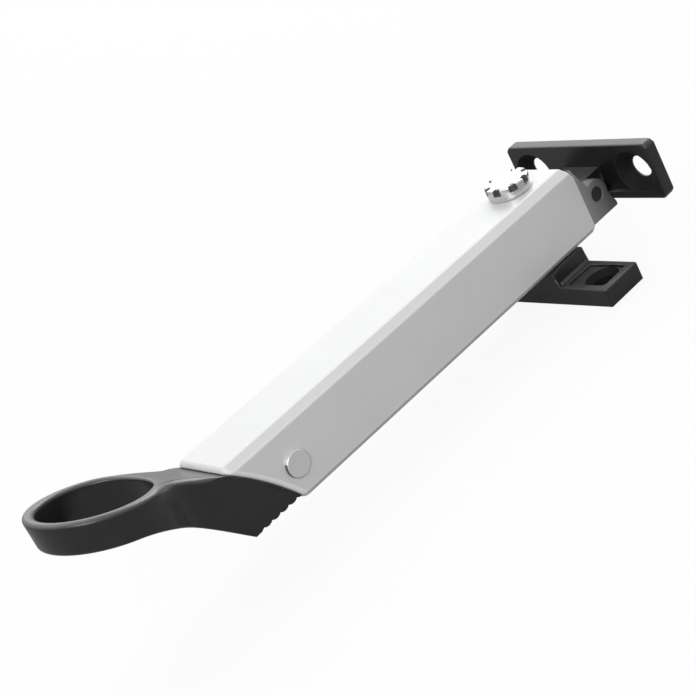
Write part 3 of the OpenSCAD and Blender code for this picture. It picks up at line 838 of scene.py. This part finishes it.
def turned(points, name, *materials):
    """Closed surface from rows of points: each row closes on itself, and the end rows shrink to a point.

    points has the shape (rows, columns, 3), in mm. A quad joins each point with the next in its row
    and the two above them, and a fan of triangles closes each end."""
    rows, columns = points.shape[:2]
    ends = points[[0, -1]].mean(axis=1)
    places = np.concatenate([points.reshape(-1, 3), ends]) * MM
    here = np.arange(rows - 1)[:, None] * columns + np.arange(columns)[None, :]
    beside = np.arange(rows - 1)[:, None] * columns + np.roll(np.arange(columns), -1)[None, :]
    quads = np.stack([here, beside, beside + columns, here + columns], axis=-1).reshape(-1, 4)
    low, high = rows * columns, rows * columns + 1
    first = np.stack([np.full(columns, low), beside[0], here[0]], axis=-1)
    last = np.stack([np.full(columns, high), here[-1] + columns, beside[-1] + columns], axis=-1)
    mesh = bpy.data.meshes.new(name)
    mesh.from_pydata(places.tolist(), [], quads.tolist() + first.tolist() + last.tolist())
    shade_smooth(mesh)
    return new_piece(name, mesh, *materials)


def quarter(steps):
    """Sine and cosine along a quarter turn, the shape of a rounded edge."""
    angle = np.linspace(0, math.pi / 2, steps)
    return np.sin(angle), np.cos(angle)


def notch_phase(angle):
    """Angle from the middle of the nearest notch."""
    pitch = 2 * math.pi / NOTCHES
    return (angle - math.radians(NOTCH_TURN) + pitch / 2) % pitch - pitch / 2


def screw_head(material, notch_shade):
    """Castellated head: a lathe profile whose upper part is drawn in at each notch.

    At angle a the upper radius is the rim's less NOTCH_IN times a notch share, which is 1 across a
    notch and falls to 0 over a small radius at its walls. The rows run up from the seat over the
    rim, along the notch floors and up to the slightly dished top."""
    low, top, rim = tube_top + HEAD_GAP, head_top, head_radius
    floor = top - NOTCH_DEPTH
    angle = np.arange(HEAD_COLUMNS) * 2 * math.pi / HEAD_COLUMNS
    across = np.abs(np.sin(notch_phase(angle))) * rim
    share = np.clip((NOTCH_WIDTH / 2 + NOTCH_WALL_SOFT - across) / (2 * NOTCH_WALL_SOFT), 0, 1)
    share = share * share * (3 - 2 * share)
    upper = rim - NOTCH_IN * share
    sine, cosine = quarter(HEAD_ROUND_POINTS)
    ones = np.ones(HEAD_COLUMNS)
    rows = [(SHANK_RADIUS * ones, seat_z * ones), (washer_room * ones, seat_z * ones),
            (washer_room * ones, low * ones), ((rim - HEAD_ROUND) * ones, low * ones)]
    rows += [((rim - HEAD_ROUND + HEAD_ROUND * a) * ones, (low + HEAD_ROUND - HEAD_ROUND * b) * ones)
             for a, b in zip(sine, cosine)]
    rows += [(rim * ones, (floor - NOTCH_LIP) * ones)]
    rows += [(rim - NOTCH_LIP * (1 - b) * share, (floor - NOTCH_LIP + NOTCH_LIP * a) * ones)
             for a, b in zip(sine[1:], cosine[1:])]
    rows += [(upper + NOTCH_FOOT * share * (1 - a), (floor + NOTCH_FOOT * (1 - b)) * ones)
             for a, b in zip(sine, cosine)]
    rows += [(upper, (top - HEAD_ROUND) * ones)]
    rows += [(upper - HEAD_ROUND * (1 - b), (top - HEAD_ROUND + HEAD_ROUND * a) * ones)
             for a, b in zip(sine[1:], cosine[1:])]
    inner = rim - NOTCH_IN - HEAD_ROUND - HEAD_FLAT_IN
    rows += [(inner * part * ones + (1 - part) * (upper - HEAD_ROUND), top * ones) for part in (0.5, 1.0)]
    rows += [(inner * part * ones, (top - HEAD_DISH * (1 - part ** 2)) * ones) for part in (0.8, 0.5, 0.2)]
    points = np.stack([np.stack([r * np.cos(angle), r * np.sin(angle), z], axis=-1) for r, z in rows])
    head = turned(points, "lock_screw_head", material, notch_shade)
    # Faces in and round the notches take the second material, painted shade
    middle = face_centres(head.data)
    phase = notch_phase(np.arctan2(middle[:, 1], middle[:, 0]))
    reach = np.hypot(middle[:, 0], middle[:, 1])
    painted_shade_faces = np.abs(np.sin(phase)) * rim < NOTCH_WIDTH / 2 + NOTCH_SHADE_SPREAD
    painted_shade_faces &= reach > rim - NOTCH_IN - NOTCH_SHADE_IN
    painted_shade_faces &= (middle[:, 2] > floor - NOTCH_SHADE_SPREAD) & (middle[:, 2] < top - HEAD_ROUND * NOTCH_SHADE_TOP)
    head.data.polygons.foreach_set("material_index", painted_shade_faces.astype(np.int32))
    return head


def screw_shank(material):
    """Helical thread: radius = crest less THREAD_DEPTH times a V of (height / pitch - turn), rounded
    at crest and root, with a plain chamfered tip."""
    turn = np.arange(THREAD_COLUMNS) / THREAD_COLUMNS
    height = np.linspace(screw_tip, seat_z + THREAD_OVERLAP, THREAD_ROWS)[:, None]
    wave = (height / THREAD_PITCH - turn[None, :]) % 1.0
    groove = np.clip(np.abs(2 * wave - 1) * THREAD_SLOPE - THREAD_CREST, 0, 1)
    radius = SHANK_RADIUS - THREAD_GAP - THREAD_DEPTH * groove
    tip = np.clip((height - screw_tip) / TIP_LENGTH, 0, 1)
    radius = np.minimum(radius, SHANK_RADIUS - TIP_CHAMFER + TIP_CHAMFER * tip)
    points = np.stack([radius * np.cos(2 * math.pi * turn), radius * np.sin(2 * math.pi * turn),
                       np.broadcast_to(height, radius.shape)], axis=-1)
    return turned(points, "lock_screw_thread", material)


def set_rivet(material, rim_shade):
    """Rivet turned about the X axis: flat, faintly dished heads with a rounded rim on a plain shank.

    Painted shade fills the lower inner side of the rim, where the head stands off the tube."""
    face, rim = rivet_reach, rivet_radius
    sine, cosine = quarter(RIVET_ROUND_POINTS)
    half = [(face - RIVET_DISH * (1 - part ** 2), part * (rim - RIVET_RIM))
            for part in (0.05, 0.4, 0.7, 0.9, 1.0)]
    half += [(face - RIVET_RIM * (1 - b), rim - RIVET_RIM + RIVET_RIM * a)
             for a, b in zip(sine[1:], cosine[1:])]
    half = np.array(half + [(tube_half, rim), (tube_half, RIVET_SHANK)])
    profile = np.concatenate([half * (-1, 1), half[::-1]])
    angle = np.linspace(0, 2 * math.pi, RIVET_COLUMNS, endpoint=False)
    radius = profile[:, 1:2]
    points = np.stack([np.broadcast_to(profile[:, :1], (len(profile), len(angle))),
                       rivet_y + radius * np.cos(angle), rivet_z + radius * np.sin(angle)], axis=-1)
    rivet = turned(points, "handle_rivet_set", material, rim_shade)
    middle = face_centres(rivet.data) - (0, rivet_y, rivet_z)
    reach = np.hypot(middle[:, 1], middle[:, 2])
    shaded_side = middle[:, 1:] @ RIVET_SHADE_SIDE / np.maximum(reach, 0.01) > RIVET_SHADE_SHARE
    painted_shade_faces = shaded_side & (reach > rim - RIVET_SHADE_BAND) & (np.abs(middle[:, 0]) > tube_half)
    rivet.data.polygons.foreach_set("material_index", painted_shade_faces.astype(np.int32))
    return rivet


def floor_material():
    """Pale floor: the camera sees it nearly white with a faint shadow, and metal shows a share of that."""
    material = bpy.data.materials.new("pale floor")
    material.use_nodes = True
    n = Nodes(material.node_tree)
    path = n.add("ShaderNodeLightPath")
    plain = n.add("ShaderNodeBsdfDiffuse")
    plain.inputs["Color"].default_value = (FLOOR_GREY, FLOOR_GREY, FLOOR_GREY, 1)
    white = n.add("ShaderNodeEmission")
    shaded = n.add("ShaderNodeBsdfDiffuse")
    shaded.inputs["Color"].default_value = (SHADOW_WHITE, SHADOW_WHITE, SHADOW_WHITE, 1)
    pale = n.add("ShaderNodeMixShader")
    pale.inputs[0].default_value = FLOOR_WHITE
    n.link(shaded.outputs[0], pale.inputs[1])
    n.link(white.outputs[0], pale.inputs[2])
    shine = n.math("MULTIPLY", path.outputs["Is Glossy Ray"], FLOOR_SHINE)
    seen = n.math("MAXIMUM", path.outputs["Is Camera Ray"], path.outputs["Is Transmission Ray"])
    choice = n.add("ShaderNodeMixShader")
    n.link(n.math("MAXIMUM", seen, shine), choice.inputs[0])
    n.link(plain.outputs[0], choice.inputs[1])
    n.link(pale.outputs[0], choice.inputs[2])
    n.link(choice.outputs[0], n.add("ShaderNodeOutputMaterial").inputs["Surface"])
    return material


def make_stage():
    """Plain square floor just under the foot."""
    signs = [(-1, -1), (1, -1), (1, 1), (-1, 1)]
    mesh = bpy.data.meshes.new("floor")
    mesh.from_pydata([(x * FLOOR_HALF, y * FLOOR_HALF, FLOOR_Z) for x, y in signs], [], [(0, 1, 2, 3)])
    floor = new_piece("floor", mesh, floor_material())


def make_world():
    """White where the camera and the metal look, and a plain grey level as light on the object."""
    world = bpy.data.worlds.new("studio")
    bpy.context.scene.world = world
    world.use_nodes = True
    n = Nodes(world.node_tree)
    path = n.add("ShaderNodeLightPath")
    seen = n.math("MAXIMUM", path.outputs["Is Camera Ray"], path.outputs["Is Glossy Ray"])
    seen = n.math("MAXIMUM", seen, path.outputs["Is Transmission Ray"])
    level = n.add("ShaderNodeMapRange")
    n.link(seen, level.inputs["Value"])
    level.inputs["To Min"].default_value = AMBIENT_LEVEL
    level.inputs["To Max"].default_value = 1.0
    sky = n.add("ShaderNodeBackground")
    n.link(level.outputs["Result"], sky.inputs["Strength"])
    n.link(sky.outputs[0], n.add("ShaderNodeOutputWorld").inputs["Surface"])


place_camera()
make_world()
make_stage()
area_lamp("key", (-0.25, -0.2, 0.7), LAMP_AIM, 0.5, KEY_POWER)
area_lamp("fill", (0.6, -0.62, 0.52), LAMP_AIM, 0.5, FILL_POWER)
area_lamp("rear", (-0.3, 0.75, 0.5), LAMP_AIM, 0.55, REAR_POWER)
area_lamp("back", (-0.7, 0.4, 0.38), LAMP_AIM, 0.6, BACK_POWER)

finishes = make_materials()
slot_of = {part["node"]: part["material_slot"] for part in frame["record"]["subparts"]}
for node_name, cad_object in frame["nodes"].items():
    dress(cad_object, finishes[slot_of[node_name]])

# Measures of the CAD solids that the pieces are fitted to, in mm
tube_box = [corner / MM for corner in map(Vector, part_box("tube"))]
tube_inner_end, tube_outer_end = tube_box[0].y, tube_box[1].y
tube_half, tube_top = tube_box[1].x, tube_box[1].z
tube_axis = (tube_box[0].z + tube_top) / 2
plate_box = [corner / MM for corner in map(Vector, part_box("sash_plate"))]
plate_half, plate_top, plate_low = plate_box[1].x, plate_box[1].z, plate_box[0].z
plate_front, plate_mid = plate_box[1].y - PLATE_THICK, (plate_low + plate_top) / 2
foot_box = [corner / MM for corner in map(Vector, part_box("sill_bracket"))]
foot_half, foot_depth = foot_box[1].x, foot_box[1].y
screw_box = [corner / MM for corner in map(Vector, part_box("lock_screw"))]
head_radius, head_top, screw_tip = screw_box[1].x, screw_box[1].z, screw_box[0].z
washer_box = [corner / MM for corner in map(Vector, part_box("lock_washer"))]
seat_z, washer_room = washer_box[1].z + HEAD_GAP, washer_box[1].x + WASHER_PLAY
rivet_box = [corner / MM for corner in map(Vector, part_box("handle_rivet"))]
rivet_reach, rivet_radius = rivet_box[1].x, (rivet_box[1].z - rivet_box[0].z) / 2
rivet_y, rivet_z = ((rivet_box[0] + rivet_box[1]) / 2).yz

# The pieces, each on the body that carries it
black = finishes["black_nylon"]
# The handle's black nylon carries more painted top light
handle_top_lit = finishes["handle_nylon_top_lit"]
recess = finishes["recess"]
across_holes = (rivet_y, *range(SPLIT_FROM, 1, SPLIT_EVERY))
replace_node(rounded("ring_handle", "handle_shoulder", shoulder_width, [handle_top_lit], from_y=NECK_LOW_END[0]),
             "ring_handle", "stay")
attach(ring_and_neck(handle_top_lit), "stay")
replace_node(rounded("end_nose", "end_nose_moulding", nose_width, [finishes["grey_nylon"]]),
             "end_nose", "stay")
# Plate and foot take the near-black recess finish, painted shade, in their countersinks
replace_node(rounded("sash_plate", "sash_plate_moulding", plate_width, [black, recess], plate_recess),
             "sash_plate", "plate")
replace_node(rounded("sill_bracket", "sill_bracket_moulding", bracket_width, [black, recess], bracket_recess),
             "sill_bracket", "sill")
# The tube's roundings take the near-white edge, a painted highlight on rubbed aluminium
replace_node(rounded("tube", "tube_extrusion", tube_width,
                     [finishes["mill_aluminium"], finishes["rubbed_edge_highlight"]], split_at=across_holes),
             "tube", "stay")
replace_node(set_rivet(finishes["rivet_aluminium"], finishes["notch"]), "handle_rivet", "stay")
replace_node(screw_head(finishes["bright_metal"], finishes["notch"]), "lock_screw", "screw")
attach(screw_shank(finishes["bright_metal"]), "screw")
dress(frame["nodes"]["hinge_pin"], finishes["black_pin"])
# The washer takes the dark notch finish as painted shade in the gap under the head
dress(frame["nodes"]["lock_washer"], finishes["notch"])

bpy.context.scene.view_settings.view_transform = "Standard"
